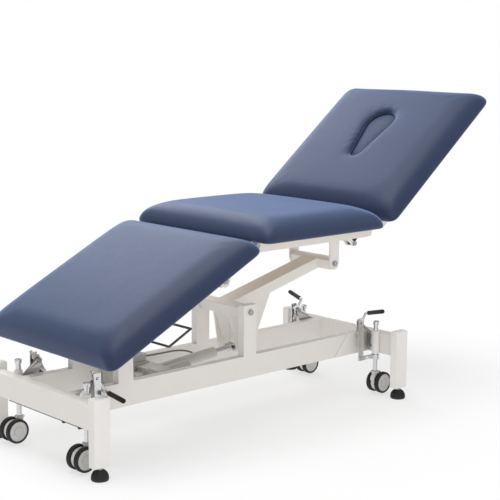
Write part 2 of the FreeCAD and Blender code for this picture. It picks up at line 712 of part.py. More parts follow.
def stem(c):
    """Castor stem with its top cap, lower clamp and the slotted yoke plate."""
    foot = V(c.x(0), c.y(0), 0)
    shaft = Part.makeCylinder(STEM_R, 182, foot + V(0, 0, 92))
    spigot = Part.makeCylinder(SPIGOT_R, 34, foot + V(0, 0, 60))
    cap = Part.makeCylinder(12.0, 14, foot + V(0, 0, 272))
    cap = cap.makeFillet(4.0, [e for e in cap.Edges if abs(e.CenterOfMass.z - 286) < 0.01])
    clamp = Part.makeCylinder(16.0, 18, foot + V(0, 0, 138))
    a, z = LEVER_PIVOT
    mid = a + c.crank_side() * CRANK_R * 0.75
    arm = box(c.x(0), c.x(mid + 13), c.y(0), c.y(YOKE_Y + PLATE_T), 140, 154)
    arm = arm.cut(box(c.x(17), c.x(mid + 20), c.y(-20), c.y(YOKE_Y - 4), 130, 160))
    yoke = c.plate([(mid - 13, 140), (mid - 13, 303), (mid + 13, 303), (mid + 13, 140)], YOKE_Y)
    least = math.cos(math.radians(LEVER_SWING / 2))
    low, high = sorted(a + c.crank_side() * CRANK_R * k for k in (least, 1.0))
    pin_z = c.crank_pin()[1]
    slot = box(c.x(low - 3.6), c.x(high + 3.6), c.y(0), c.y(30), pin_z - 4.2, pin_z + 4.2)
    return drill(fuse([shaft, spigot, cap, clamp, arm, yoke]), [slot])


def swivel(c):
    """Castor body between the two wheels, turning on the stem's spigot."""
    x, y = c.x(0), c.y(0)
    axle = (c.sx * (CASTOR_X + TRAIL), AXLE_Z)
    half = WHEEL_GAP - 2.0
    body = bar_y(axle, y - half, y + half, 34.0)
    neck = box(x - 9, x + 9, y - half, y + half, 40, 88)
    hood = Part.makeCylinder(17.0, 4.5, V(x, y, 87))
    hood = hood.makeFillet(2.0, [e for e in hood.Edges if abs(e.CenterOfMass.z - 91.5) < 0.01])
    parts = fuse([body, neck, hood, bar_y((x, 60), y - half, y + half, 16.0)])
    bores = [
        Part.makeCylinder(SPIGOT_R + RUN, 60, V(x, y, 59)),
        bar_y(axle, y - 20, y + 20, 4.0 + RUN),
    ]
    return drill(parts, bores)


def wheel_core(c):
    """Both hubs pressed on one axle."""
    y = c.y(0)
    xz = (c.sx * (CASTOR_X + TRAIL), AXLE_Z)
    parts = [bar_y(xz, y - WHEEL_GAP - 8, y + WHEEL_GAP + 8, 4.0)]
    for s in SIDES:
        inner, outer = y + s * WHEEL_GAP, y + s * (WHEEL_GAP + WHEEL_W)
        parts.append(bar_y(xz, inner, outer - s * 2, HUB_R))
        parts.append(bar_y(xz, outer - s * 3, outer - s * 0.5, 15.0))
    return fuse(parts)


def tyres(c):
    y = c.y(0)
    xz = (c.sx * (CASTOR_X + TRAIL), AXLE_Z)
    rings = []
    for s in SIDES:
        inner, outer = y + s * WHEEL_GAP, y + s * (WHEEL_GAP + WHEEL_W)
        ring = bar_y(xz, inner, outer, WHEEL_R)
        ring = ring.makeFillet(4.0, [e for e in ring.Edges if e.Curve.TypeId == "Part::GeomCircle"])
        rings.append(ring.cut(bar_y(xz, inner - s, outer + s, HUB_R)))
    return rings


# ---------------------------------------------------------------- controls


def soft_pipe(points, radius):
    """A cable along a smooth line through the points."""
    curve = Part.BSplineCurve()
    curve.interpolate([V(*p) for p in points])
    path = Part.Wire(curve.toShape())
    start = V(*points[0])
    ring = Part.Wire(Part.makeCircle(radius, start, curve.tangent(curve.FirstParameter)[0]))
    return path.makePipeShell([ring], True, True)


def control_box():
    return softened(softened(box(-395, -235, 40, 106, 169, 236), 5.0, "Z"), 3.0, "X")


def hand_control():
    """Handset resting on the control box, with a well for each button."""
    body = box(-388, -240, 50, 96, 236, BUTTON_Z)
    body = softened(softened(body, 10.0, "Z"), 4.0, "X")
    wells = [Part.makeCylinder(8.0 + RUN, 12, V(x, 73, BUTTON_Z - 8)) for x in BUTTONS.values()]
    return drill(body, wells)


def hand_button(x):
    """Button standing 2 mm proud of the handset, with 3 mm below it to travel in."""
    button = Part.makeCylinder(8.0, 7.0, V(x, 73, BUTTON_Z - 5))
    rim = [e for e in button.Edges if abs(e.CenterOfMass.z - BUTTON_Z - 2) < 0.01]
    return button.makeFillet(1.0, rim)


def cables():
    """Handset lead, motor lead and mains lead, each cut flush with what it plugs into."""
    sockets = [control_box(), hand_control(), *actuator_housing()]
    hand_path = [(-241, 73, 248), (-200, 70, 246), (-130, 62, 248), (-72, 48, 244), (-40, 40, 226)]
    hand_path += [(-62, 36, 204), (-130, 42, 196), (-200, 60, 198), (-236, 72, 200)]
    motor_path = [(-262, -57, 190), (-256, -56, 180), (-225, -40, 174), (-200, 0, 174)]
    motor_path += [(-205, 50, 178), (-236, 90, 186)]
    leads = [drill(soft_pipe(path, 3.0), sockets) for path in (hand_path, motor_path)]
    supply_z = MEMBER_Z0 - 3.6
    return leads + [bar((-715, -236, supply_z), (-715, 180, supply_z), 3.5)]


def cable_clips():
    """Two saddles that hold the mains lead under the foot cross-member."""
    clips = []
    lead_z = MEMBER_Z0 - 3.6
    for y in (-136.0, -222.0):
        saddle = box(-721, -709, y - 5, y + 5, MEMBER_Z0 - 9, MEMBER_Z0)
        clips.append(saddle.cut(bar((-715, y - 10, lead_z), (-715, y + 10, lead_z), 3.5)))
    return clips


def tray_bolts():
    """Bolts that come up through the rails where the tray is fixed."""
    y = RAIL_IN + RAIL_T / 2
    return [small_bolt((x, sy * y, MEMBER_Z0), Z_AXIS) for sy in SIDES for x in TRAY_BOLT_X]


# ---------------------------------------------------------------- assembly


def write_base():
    export("base_frame", base_frame())
    export("tube_caps", *tube_caps())
    export("rubber_feet", *[rubber_foot(p) for p in foot_positions()])
    export("foot_studs", *[foot_stud(p) for p in foot_positions()])
    export("base_pivot_bolts", *lower_pivot_bolts(), *[lever_pivot_bolt(c) for c in CORNERS])
    export("castor_brackets", *[castor_bracket(c) for c in CORNERS])
    small = [b for c in CORNERS for b in flange_bolts(c)] + tray_bolts()
    export("small_bolts", *small)
    export("actuator_rear_pin", bar_y(ACTUATOR_REAR, -28, 28, PIN_R))
    export("control_box", control_box())
    export("hand_control", hand_control())
    for name, x in BUTTONS.items():
        export(name, hand_button(x))
    export("cables", *cables())
    export("cable_clips", *cable_clips())


def write_lift():
    export("head_lift_arm", head_lift_arm())
    export("foot_lift_arm", lift_arm(FOOT_PIVOT, PIN_R + RUN))
    export("crank_pin", bar_y(CRANK, -34, 34, 5.0))
    export("actuator_housing", *actuator_housing())
    export("actuator_rod", actuator_rod())


def write_seat():
    export("seat_frame", seat_frame())
    export("seat_board", board(SEAT_X0, SEAT_X1))
    export("seat_cushion", cushion(SEAT_X0, SEAT_X1))
    bolts = []
    for sy in SIDES:
        for pivot in upper_pivots():
            bolts.append(bolt_y(pivot, sy * (UP_TUBE_HALF + 8), -sy, 34, PIN_R, 11, 7))
        for pivot in (LEG_HINGE, HEAD_HINGE):
            bolts.append(bolt_y(pivot, sy * PIVOT_HEAD_Y, -sy, 34, PIN_R, 11, 7))
    export("seat_pivot_bolts", *bolts)
    low = ((LEG_SPRING_LOW, LEG_SPRING_Y), (HEAD_SPRING_LOW, HEAD_SPRING_Y))
    export("seat_spring_pins", *[spring_pin(point, y) for point, y in low])


def write_leg_section():
    def place(shape):
        return turned(shape, LEG_HINGE, LEG_DROP)

    end = LEG_SPRING_TOP
    export("leg_frame", place(fuse([leg_frame(), spring_pin(end, LEG_SPRING_Y)])))
    export("leg_board", place(board(LEG_X0, LEG_X1)))
    export("leg_cushion", place(cushion(LEG_X0, LEG_X1)))
    export("leg_release_handle", place(release_handle()))
    top = turned_point(end, LEG_HINGE, LEG_DROP)
    cylinder, rod = gas_spring(LEG_SPRING_LOW, top, LEG_SPRING_Y, 170)
    export("leg_spring_cylinder", cylinder)
    export("leg_spring_rod", rod)


def write_head_section():
    def place(shape):
        return turned(shape, HEAD_HINGE, HEAD_RAISE)

    hole = hole_prism(HOLE_GAP, PAD_Z - 5, PAD_Z + PAD_T + 5)
    end = HEAD_SPRING_TOP
    export("head_frame", place(fuse([head_frame(), spring_pin(end, HEAD_SPRING_Y)])))
    export("head_board", place(board(HEAD_X0, HEAD_X1).cut(hole)))
    export("head_cushion", place(cushion(HEAD_X0, HEAD_X1).cut(hole)))
    plug = hole_prism(0.0, PAD_Z + 1, PAD_Z + PAD_T)
    top = [e for e in plug.Edges if abs(e.CenterOfMass.z - PAD_Z - PAD_T) < 0.01]
    export("breathing_hole_plug", place(plug.makeFillet(6.0, top)))
    top = turned_point(end, HEAD_HINGE, HEAD_RAISE)
    cylinder, rod = gas_spring(HEAD_SPRING_LOW, top, HEAD_SPRING_Y, 125)
    export("head_spring_cylinder", cylinder)
    export("head_spring_rod", rod)


def write_castors():
    for c in CORNERS:
        body, (corner, out) = lever(c)
        export("castor_" + c.name + "_lever", body)
        export("castor_" + c.name + "_grip", grip(corner, out))
        export("castor_" + c.name + "_stem", stem(c))
        export("castor_" + c.name + "_body", swivel(c))
        export("castor_" + c.name + "_hubs", wheel_core(c))
        export("castor_" + c.name + "_tyres", *tyres(c))


def main():
    os.makedirs("parts", exist_ok=True)
    write_base()
    write_lift()
    write_seat()
    write_leg_section()
    write_head_section()
    write_castors()


main()
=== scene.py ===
import json
import math

import bmesh
import bpy
import numpy as np
from mathutils import Matrix, Vector


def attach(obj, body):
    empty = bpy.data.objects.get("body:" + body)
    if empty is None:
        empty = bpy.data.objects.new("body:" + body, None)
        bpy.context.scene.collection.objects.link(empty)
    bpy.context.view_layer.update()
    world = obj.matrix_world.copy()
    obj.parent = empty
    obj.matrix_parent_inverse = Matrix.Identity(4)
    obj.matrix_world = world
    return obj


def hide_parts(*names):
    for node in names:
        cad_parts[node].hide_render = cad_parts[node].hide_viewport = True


# Looks of the examination couch: upholstery, paint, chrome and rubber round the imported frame.
# Everything is in metres in the row frame. Pads are shaped lying flat, then turned into place.

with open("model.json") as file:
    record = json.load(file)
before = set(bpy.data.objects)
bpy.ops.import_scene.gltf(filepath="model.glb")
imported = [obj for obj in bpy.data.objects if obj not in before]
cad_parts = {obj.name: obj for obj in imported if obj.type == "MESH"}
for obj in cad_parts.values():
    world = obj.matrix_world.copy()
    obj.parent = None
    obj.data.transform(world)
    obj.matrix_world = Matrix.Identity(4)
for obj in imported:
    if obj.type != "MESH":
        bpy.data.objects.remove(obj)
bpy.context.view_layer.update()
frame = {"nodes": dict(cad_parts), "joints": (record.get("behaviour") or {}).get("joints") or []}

MM = 0.001
JOINTS = {j["name"]: j for j in frame["joints"]}
NODES = frame["nodes"]

# ---------------------------------------------------------------- materials


class Look:
    """A node material being put together round one Principled shader."""

    def __init__(self, name):
        self.material = bpy.data.materials.new(name)
        self.material.use_nodes = True
        tree = self.material.node_tree
        self.nodes, self.links = tree.nodes, tree.links
        self.shader = self.nodes["Principled BSDF"]
        self.place = self.nodes.new("ShaderNodeTexCoord").outputs["Object"]
        self.height = None

    def set(self, **values):
        """Sets plain inputs of the shader, with _ for each space in their names."""
        for key, value in values.items():
            self.shader.inputs[key.replace("_", " ")].default_value = value
        return self

    def noise(self, scale, detail=3.0, roughness=0.5, stretch=None):
        node = self.nodes.new("ShaderNodeTexNoise")
        node.inputs["Scale"].default_value = scale
        node.inputs["Detail"].default_value = detail
        node.inputs["Roughness"].default_value = roughness
        self.links.new(self.mapped(stretch), node.inputs["Vector"])
        return node.outputs["Fac"]

    def cells(self, scale, stretch=None):
        """Height of small rounded cells with grooves between them."""
        node = self.nodes.new("ShaderNodeTexVoronoi")
        node.feature = "DISTANCE_TO_EDGE"
        node.inputs["Scale"].default_value = scale
        self.links.new(self.mapped(stretch), node.inputs["Vector"])
        return self.ramp(node.outputs["Distance"], (0.0, 0.0), (0.16, 1.0))

    def mapped(self, stretch):
        if stretch is None:
            return self.place
        node = self.nodes.new("ShaderNodeMapping")
        node.inputs["Scale"].default_value = stretch
        self.links.new(self.place, node.inputs["Vector"])
        return node.outputs["Vector"]

    def ramp(self, source, *stops):
        """Maps a value through grey stops of (position, value)."""
        node = self.nodes.new("ShaderNodeValToRGB")
        elements = node.color_ramp.elements
        while len(elements) < len(stops):
            elements.new(0.5)
        for element, (position, value) in zip(elements, stops):
            element.position = position
            element.color = (value, value, value, 1)
        self.links.new(source, node.inputs["Fac"])
        return node.outputs["Color"]

    def colour(self, low, high, source):
        """Base colour between two colours by a value."""
        node = self.nodes.new("ShaderNodeMix")
        node.data_type = "RGBA"
        node.inputs["A"].default_value = (*low, 1)
        node.inputs["B"].default_value = (*high, 1)
        self.links.new(source, node.inputs["Factor"])
        self.links.new(node.outputs["Result"], self.shader.inputs["Base Color"])
        return node

    def tint(self, mix, colour, source):
        """Lays another colour over a mix by a mask."""
        node = self.nodes.new("ShaderNodeMix")
        node.data_type = "RGBA"
        node.inputs["B"].default_value = (*colour, 1)
        self.links.new(mix.outputs["Result"], node.inputs["A"])
        self.links.new(source, node.inputs["Factor"])
        self.links.new(node.outputs["Result"], self.shader.inputs["Base Color"])
        return node

    def rough(self, low, high, source):
        node = self.nodes.new("ShaderNodeMapRange")
        node.inputs["To Min"].default_value = low
        node.inputs["To Max"].default_value = high
        self.links.new(source, node.inputs["Value"])
        self.links.new(node.outputs["Result"], self.shader.inputs["Roughness"])
        return self

    def bump(self, source, strength, distance):
        """Adds one layer of relief on top of the earlier ones."""
        node = self.nodes.new("ShaderNodeBump")
        node.inputs["Strength"].default_value = strength
        node.inputs["Distance"].default_value = distance
        self.links.new(source, node.inputs["Height"])
        if self.height is not None:
            self.links.new(self.height, node.inputs["Normal"])
        self.height = node.outputs["Normal"]
        self.links.new(self.height, self.shader.inputs["Normal"])
        return self

    def edges(self):
        """A mask that is bright on outer edges and corners."""
        geometry = self.nodes.new("ShaderNodeNewGeometry")
        return self.ramp(geometry.outputs["Pointiness"], (0.52, 0.0), (0.62, 1.0))


def vinyl(name, dark, light, grain=1.0):
    """Upholstery vinyl: fine pebbled grain, faint mottling and a soft sheen."""
    look = Look(name)
    look.colour(dark, light, look.noise(5.0, 4.0))
    look.set(Specular_IOR_Level=0.22, Sheen_Weight=0.92, Sheen_Roughness=0.40)
    look.set(Sheen_Tint=(0.42, 0.58, 1.0, 1.0))
    look.rough(0.40, 0.52, look.noise(60.0, 4.0))
    look.bump(look.noise(9.0, 3.0), 0.22, 5 * MM)
    look.bump(look.cells(520.0), 0.16 * grain, 0.25 * MM)
    look.bump(look.noise(1500.0, 2.0), 0.10 * grain, 0.15 * MM)
    return look.material


def powder_coat():
    """Off-white powder coat: orange peel, and a lighter, whiter tint on the outer edges."""
    look = Look("powder_coat")
    mix = look.colour((0.84, 0.81, 0.77), (0.87, 0.845, 0.81), look.noise(9.0, 4.0))
    look.tint(mix, (0.90, 0.88, 0.86), look.edges())
    look.set(Specular_IOR_Level=0.45, Coat_Weight=0.12, Coat_Roughness=0.2)
    look.rough(0.34, 0.46, look.noise(40.0, 3.0))
    look.bump(look.noise(420.0, 2.0), 0.12, 0.3 * MM)
    return look.material


def metal(name, colour, rough, scratches):
    """Plated or bare metal with fine drawn scratches."""
    look = Look(name)
    darker = tuple(c * 0.86 for c in colour)
    look.colour(darker, colour, look.noise(30.0, 4.0))
    look.set(Metallic=1.0)
    look.rough(rough * 0.75, rough * 1.3, look.noise(160.0, 5.0, 0.6, (1.0, 1.0, 0.12)))
    look.bump(look.noise(900.0, 3.0, 0.6, (1.0, 1.0, 0.05)), scratches, 0.12 * MM)
    return look.material


def moulded(name, colour, rough=0.5, relief=0.1):
    """Moulded plastic with a fine spark texture."""
    look = Look(name)
    mix = look.colour(tuple(c * 0.9 for c in colour), colour, look.noise(25.0, 4.0))
    look.tint(mix, tuple(min(1.0, c * 1.25 + 0.01) for c in colour), look.edges())
    look.set(Specular_IOR_Level=0.45)
    look.rough(rough - 0.06, rough + 0.08, look.noise(90.0, 3.0))
    look.bump(look.noise(1400.0, 2.0), relief, 0.15 * MM)
    return look.material


def rubber(name, colour, rough=0.72):
    look = Look(name)
    mix = look.colour(tuple(c * 0.8 for c in colour), colour, look.noise(50.0, 4.0))
    look.tint(mix, (0.07, 0.07, 0.07), look.edges())
    look.set(Specular_IOR_Level=0.35)
    look.rough(rough - 0.08, rough + 0.08, look.noise(120.0, 4.0))
    look.bump(look.noise(700.0, 4.0), 0.2, 0.2 * MM)
    return look.material


def plywood():
    """Birch plywood with long grain along the couch and darker pores."""
    look = Look("plywood")
    grain = look.noise(26.0, 6.0, 0.6, (0.25, 4.0, 1.0))
    mix = look.colour((0.40, 0.27, 0.15), (0.62, 0.46, 0.29), grain)
    pores = look.ramp(look.noise(320.0, 4.0, 0.7, (0.06, 1.0, 1.0)), (0.60, 0.0), (0.72, 0.6))
    look.tint(mix, (0.26, 0.16, 0.09), pores)
    look.rough(0.6, 0.75, look.noise(60.0, 3.0))
    look.bump(look.noise(400.0, 4.0, 0.6, (0.05, 1.0, 1.0)), 0.25, 0.2 * MM)
    return look.material


PAINT = powder_coat()
VINYL = vinyl("vinyl_slate", (0.023, 0.035, 0.075), (0.028, 0.041, 0.086))
PLUG_VINYL = vinyl("vinyl_plug", (0.019, 0.027, 0.058), (0.027, 0.037, 0.077), 3.0)
# Seam vinyl: the pad vinyl's slate blue made about four times darker, as painted shade of the sunk
# seam round the breathing hole.
SEAM_SHADE_VINYL = vinyl("vinyl_seam_painted_shade", (0.005, 0.007, 0.014), (0.008, 0.011, 0.020))
CHROME = metal("chrome", (0.72, 0.72, 0.73), 0.14, 0.05)
STEEL = metal("zinc_steel", (0.42, 0.42, 0.43), 0.34, 0.15)
DARK_STEEL = metal("black_zinc", (0.13, 0.13, 0.135), 0.38, 0.15)
BLACK_RUBBER = rubber("black_rubber", (0.016, 0.016, 0.017))
TREAD = rubber("tread_rubber", (0.014, 0.014, 0.015), 0.6)
CAP_PLASTIC = moulded("cap_plastic", (0.74, 0.72, 0.69), 0.42)
HUB_PLASTIC = moulded("hub_plastic", (0.56, 0.555, 0.54), 0.36)
BLACK_PLASTIC = moulded("black_plastic", (0.02, 0.02, 0.022), 0.42)
GREY_PLASTIC = moulded("grey_plastic", (0.56, 0.55, 0.52), 0.48)
GREY_CABLE = moulded("grey_cable", (0.16, 0.16, 0.165), 0.5)
BUTTON_PLASTIC = moulded("button_plastic", (0.55, 0.57, 0.60), 0.4)
WOOD = plywood()

NODE_LOOKS = {
    "base_frame": PAINT,
    "head_lift_arm": PAINT,
    "foot_lift_arm": PAINT,
    "seat_frame": PAINT,
    "leg_frame": PAINT,
    "head_frame": PAINT,
    "tube_caps": CAP_PLASTIC,
    "rubber_feet": BLACK_RUBBER,
    "foot_studs": STEEL,
    "castor_brackets": CHROME,
    "actuator_rod": CHROME,
    "leg_spring_rod": CHROME,
    "head_spring_rod": CHROME,
    "actuator_housing": GREY_PLASTIC,
    "control_box": GREY_PLASTIC,
    "hand_control": GREY_PLASTIC,
    "hand_button_up": BUTTON_PLASTIC,
    "hand_button_down": BUTTON_PLASTIC,
    "leg_spring_cylinder": BLACK_PLASTIC,
    "head_spring_cylinder": BLACK_PLASTIC,
    "cables": GREY_CABLE,
    "cable_clips": BLACK_PLASTIC,
    "leg_release_handle": DARK_STEEL,
    "base_pivot_bolts": STEEL,
    "seat_pivot_bolts": STEEL,
    "seat_spring_pins": STEEL,
    "small_bolts": STEEL,
    "crank_pin": STEEL,
    "actuator_rear_pin": STEEL,
    "leg_board": WOOD,
    "seat_board": WOOD,
    "head_board": WOOD,
}
CASTOR_LOOKS = {
    "lever": CHROME,
    "grip": BLACK_RUBBER,
    "stem": CHROME,
    "body": HUB_PLASTIC,
    "hubs": HUB_PLASTIC,
    "tyres": TREAD,
}
CASTORS = [f"castor_{side}_{end}" for side in ("near", "far") for end in ("foot", "head")]
for castor in CASTORS:
    for part, look in CASTOR_LOOKS.items():
        NODE_LOOKS[f"{castor}_{part}"] = look

# Edge rounding of the carried-over nodes: modifier width in millimetres
ROUNDED = {
    "base_frame": 2.2,
    "head_lift_arm": 2.0,
    "foot_lift_arm": 2.0,
    "seat_frame": 2.0,
    "leg_frame": 2.0,
    "head_frame": 2.0,
    "castor_brackets": 0.8,
}


def dress(node, material):
    """Gives a CAD node its material and, where named, rounded edges."""
    obj = NODES[node]
    obj.data.materials.clear()
    obj.data.materials.append(material)
    if node in ROUNDED:
        weld = obj.modifiers.new("weld", "WELD")
        weld.merge_threshold = 0.01 * MM
        bevel = obj.modifiers.new("round", "BEVEL")
        bevel.width = ROUNDED[node] * MM
        bevel.segments = 2
        bevel.limit_method = "ANGLE"
        bevel.angle_limit = math.radians(40)
        bevel.harden_normals = False
        obj.modifiers.new("normals", "WEIGHTED_NORMAL").keep_sharp = True


for name, look in NODE_LOOKS.items():
    dress(name, look)

# ---------------------------------------------------------------- mesh helpers


def mesh_object(name, bm, material):
    """A finished, smooth-shaded object from a bmesh."""
    bmesh.ops.recalc_face_normals(bm, faces=bm.faces)
    mesh = bpy.data.meshes.new(name)
    bm.to_mesh(mesh)
    bm.free()
    obj = bpy.data.objects.new(name, mesh)
    bpy.context.scene.collection.objects.link(obj)
    mesh.materials.append(material)
    for polygon in mesh.polygons:
        polygon.use_smooth = True
    return obj


def points_of(obj):
    co = np.zeros(len(obj.data.vertices) * 3, np.float64)
    obj.data.vertices.foreach_get("co", co)
    return co.reshape(-1, 3)


def set_points(obj, points):
    obj.data.vertices.foreach_set("co", points.astype(np.float32).ravel())
    obj.data.update()


def apply_modifiers(obj):
    """Puts the evaluated mesh in place of the object's own."""
    depsgraph = bpy.context.evaluated_depsgraph_get()
    baked = bpy.data.meshes.new_from_object(obj.evaluated_get(depsgraph), depsgraph=depsgraph)
    materials = list(obj.data.materials)
    obj.modifiers.clear()
    obj.data = baked
    obj.data.materials.clear()
    for material in materials:
        obj.data.materials.append(material)
    for polygon in baked.polygons:
        polygon.use_smooth = True


def stitch(bm, rings, closed=False):
    """Joins rings of corners into a skin: a closed loop, or a body capped at both ends."""
    following = rings[1:] + rings[:1] if closed else rings[1:]
    for one, two in zip(rings, following):
        for k in range(len(one)):
            n = (k + 1) % len(one)
            bm.faces.new((one[k], one[n], two[n], two[k]))
    if not closed:
        bm.faces.new(rings[0])
        bm.faces.new(rings[-1])


def cord_along(points, radius, sides=12):
    """A round cord along a closed line of points, as a bmesh."""
    bm = bmesh.new()
    rings = []
    for i, point in enumerate(points):
        along = (points[(i + 1) % len(points)] - points[i - 1]).normalized()
        side = along.cross(Vector((0, 0, 1))).normalized()
        up = side.cross(along)
        ring = []
        for k in range(sides):
            turn = 2 * math.pi * k / sides
            across = point + side * radius * math.cos(turn)
            ring.append(bm.verts.new(across + up * radius * math.sin(turn)))
        rings.append(ring)
    stitch(bm, rings, closed=True)
    return bm


# ---------------------------------------------------------------- where the pads lie flat


class Section:
    """A pad's own flat frame: how to get from lying flat to the rest pose."""

    def __init__(self, node, joint=None, angle=0.0):
        self.node = node
        self.to_rest = Matrix.Identity(4)
        if joint is not None:
            pivot = Vector(JOINTS[joint]["pos_m"])
            axis = Vector(JOINTS[joint]["axis"])
            turn = Matrix.Rotation(angle, 4, axis)
            self.to_rest = Matrix.Translation(pivot) @ turn @ Matrix.Translation(-pivot)
        back = np.array(self.to_rest.inverted())
        points = points_of(NODES[node]) @ back[:3, :3].T + back[:3, 3]
        self.low, self.high = Vector(points.min(0)), Vector(points.max(0))

    def settle(self, obj):
        """Turns a piece shaped flat into its place in the rest pose."""
        obj.data.transform(self.to_rest)
        return obj


LEG_FLAT = math.radians(JOINTS["leg_section_fold"]["range_deg"][1])
HEAD_FLAT = math.radians(JOINTS["head_section_raise"]["range_deg"][0])
SEAT = Section("seat_cushion")
LEG = Section("leg_cushion", "leg_section_fold", -LEG_FLAT)
HEAD = Section("head_cushion", "head_section_raise", -HEAD_FLAT)
PLUG = Section("breathing_hole_plug", "head_section_raise", -HEAD_FLAT)

# ---------------------------------------------------------------- upholstery

PAD_CORNER = 32 * MM  # plan corner radius at the widest line
CORNER_GROWTH = 0.55  # how much the corner radius grows per length of inset
PAD_SLOPE = 88 * MM  # how far in the curved side reaches the flat of the top
PAD_FOOT = 7 * MM  # height of the widest line
PAD_VOXEL = 6 * MM
HELD_HEIGHT = PAD_FOOT + 3 * MM  # the cover is fixed up to here, round the board
SWELL = 5 * MM  # furthest that the cover may swell
SWELL_PRESSURE = 4.0
SWELL_FRAMES = 20
WRINKLE = 0.18  # share of the cover's small wrinkles that stays
SPREAD_ROUNDS = 40
CROWN = 9 * MM  # rise of the middle of the top
DROOP = 2 * MM  # droop of the top's edges between the corners

HOLE_GAP = 2 * MM  # between the plug and the mouth of the breathing hole
HOLE_HELD = 5 * MM  # width of the sewn band round the mouth, which can't swell
HOLE_EDGE_SINK = 7 * MM
HOLE_SOFT = 20 * MM  # how far out the cover sinks towards the mouth
HOLE_TAPER = 28 / 64  # radius of the narrow end over that of the wide end
ARC_STEPS = 120
PLEATS = 17
PLEAT, PLEAT_LEN = 1.3 * MM, 46 * MM
WELT_R = 2.4 * MM
PLUG_RIM = 12 * MM  # depth of the plug's rim below the top of its space
PLUG_CROWN = 8 * MM


def rounded_outline(low, high, inset, radius, steps=14):
    """Plan outline of a pad at one level: a rectangle set back by inset, with arc corners."""
    outline = []
    x0, x1, y0, y1 = low.x + inset, high.x - inset, low.y + inset, high.y - inset
    corners = [(x1, y1, 0), (x0, y1, 90), (x0, y0, 180), (x1, y0, 270)]
    for x, y, start in corners:
        cx = x - math.copysign(radius, x - (x0 + x1) / 2)
        cy = y - math.copysign(radius, y - (y0 + y1) / 2)
        for k in range(steps + 1):
            turn = math.radians(start + 90 * k / steps)
            outline.append((cx + radius * math.cos(turn), cy + radius * math.sin(turn)))
    return outline


def pad_blank(section):
    """Foam block of a pad: widest near the bottom, its side curving in to a soft top."""
    low, high = section.low, section.high
    rows = [(0.0, 5 * MM), (2 * MM, 1.5 * MM), (PAD_FOOT, 0.0)]
    rise = high.z - low.z - PAD_FOOT
    steps = 18
    for k in range(1, steps + 1):
        share = (k / steps) ** 2
        rows.append((PAD_FOOT + rise * math.sqrt(1 - (1 - share) ** 3), PAD_SLOPE * share))
    bm = bmesh.new()
    rings = []
    for z, inset in rows:
        radius = PAD_CORNER + CORNER_GROWTH * inset
        outline = rounded_outline(low, high, inset, radius)
        rings.append([bm.verts.new((x, y, low.z + z)) for x, y in outline])
    stitch(bm, rings)
    return mesh_object(section.node + "_pad", bm, VINYL)


def remesh(obj, voxel):
    modifier = obj.modifiers.new("voxels", "REMESH")
    modifier.mode = "VOXEL"
    modifier.voxel_size = voxel
    modifier.use_smooth_shade = True
    apply_modifiers(obj)


def inflate(obj, pinned):
    """Lets the cover swell under pressure with some points held, then caps how far it went."""
    rest = points_of(obj)
    group = obj.vertex_groups.new(name="held")
    for index in np.nonzero(pinned)[0]:
        group.add([int(index)], 1.0, "REPLACE")
    cloth = obj.modifiers.new("swell", "CLOTH")
    settings = cloth.settings
    settings.quality = 5
    settings.mass = 0.4
    settings.use_pressure = True
    settings.uniform_pressure_force = SWELL_PRESSURE
    settings.effector_weights.gravity = 0.0
    settings.vertex_group_mass = "held"
    settings.bending_stiffness = 4.0
    settings.tension_stiffness = 30.0
    settings.compression_stiffness = 30.0
    settings.shear_stiffness = 12.0
    cloth.point_cache.frame_start = 1
    cloth.point_cache.frame_end = SWELL_FRAMES
    scene = bpy.context.scene
    for number in range(1, SWELL_FRAMES + 1):
        scene.frame_set(number)
    depsgraph = bpy.context.evaluated_depsgraph_get()
    swollen = obj.evaluated_get(depsgraph).to_mesh()
    moved = np.zeros(len(rest) * 3)
    swollen.vertices.foreach_get("co", moved)
    step = moved.reshape(-1, 3) - rest
    obj.evaluated_get(depsgraph).to_mesh_clear()
    length = np.linalg.norm(step, axis=1)
    step *= np.minimum(1.0, SWELL / np.maximum(length, 1e-9))[:, None]
    obj.modifiers.clear()
    obj.vertex_groups.clear()
    scene.frame_set(1)
    even = spread(obj, step)
    set_points(obj, rest + WRINKLE * step + (1 - WRINKLE) * even)


def spread(obj, step):
    """Evens out a move of the points over their neighbours, which takes out the small wrinkles."""
    ends = np.zeros(len(obj.data.edges) * 2, np.int64)
    obj.data.edges.foreach_get("vertices", ends)
    one, two = ends[0::2], ends[1::2]
    count = len(step)
    valence = np.bincount(ends, minlength=count)[:, None]
    for _ in range(SPREAD_ROUNDS):
        around = np.empty_like(step)
        for axis in range(3):
            into_one = np.bincount(one, step[two, axis], count)
            into_two = np.bincount(two, step[one, axis], count)
            around[:, axis] = into_one + into_two
        step = 0.4 * step + 0.6 * around / valence
    return step


def crown(points, section):
    """Raises the middle of the top and lets its edges droop between the corners."""
    low, high = np.array(section.low), np.array(section.high)
    middle, half = (low + high) / 2, (high - low) / 2
    u = (points[:, 0] - middle[0]) / half[0]
    v = (points[:, 1] - middle[1]) / half[1]
    lift = np.clip((points[:, 2] - low[2]) / (high[2] - low[2]), 0, 1)
    across = np.clip(1 - u**2, 0, 1)
    along = np.clip(1 - v**2, 0, 1)
    shaped = points.copy()
    shaped[:, 2] += CROWN * (across * along) ** 0.7 * lift**2
    rim = np.abs(u) ** 6 * along + np.abs(v) ** 6 * across
    shaped[:, 2] -= DROOP * rim * lift
    return shaped


def pucker(points, level):
    """Small pleats that run out from the sewn edge of the breathing hole."""
    centre = ((PLUG.low.x + PLUG.high.x) / 2 + 14 * MM, 0.0)
    turn = np.arctan2(points[:, 1] - centre[1], points[:, 0] - centre[0])
    reach = distance_to_hole(points)
    uneven = 0.65 + 0.35 * np.sin(3 * turn + 1.0)
    wave = np.sin(PLEATS * turn + 0.6 * np.sin(5 * turn)) * uneven
    fade = np.clip(1 - reach / PLEAT_LEN, 0, 1) ** 1.6 * np.clip(reach / (6 * MM), 0, 1)
    return points[:, 2] + PLEAT * wave * fade * level


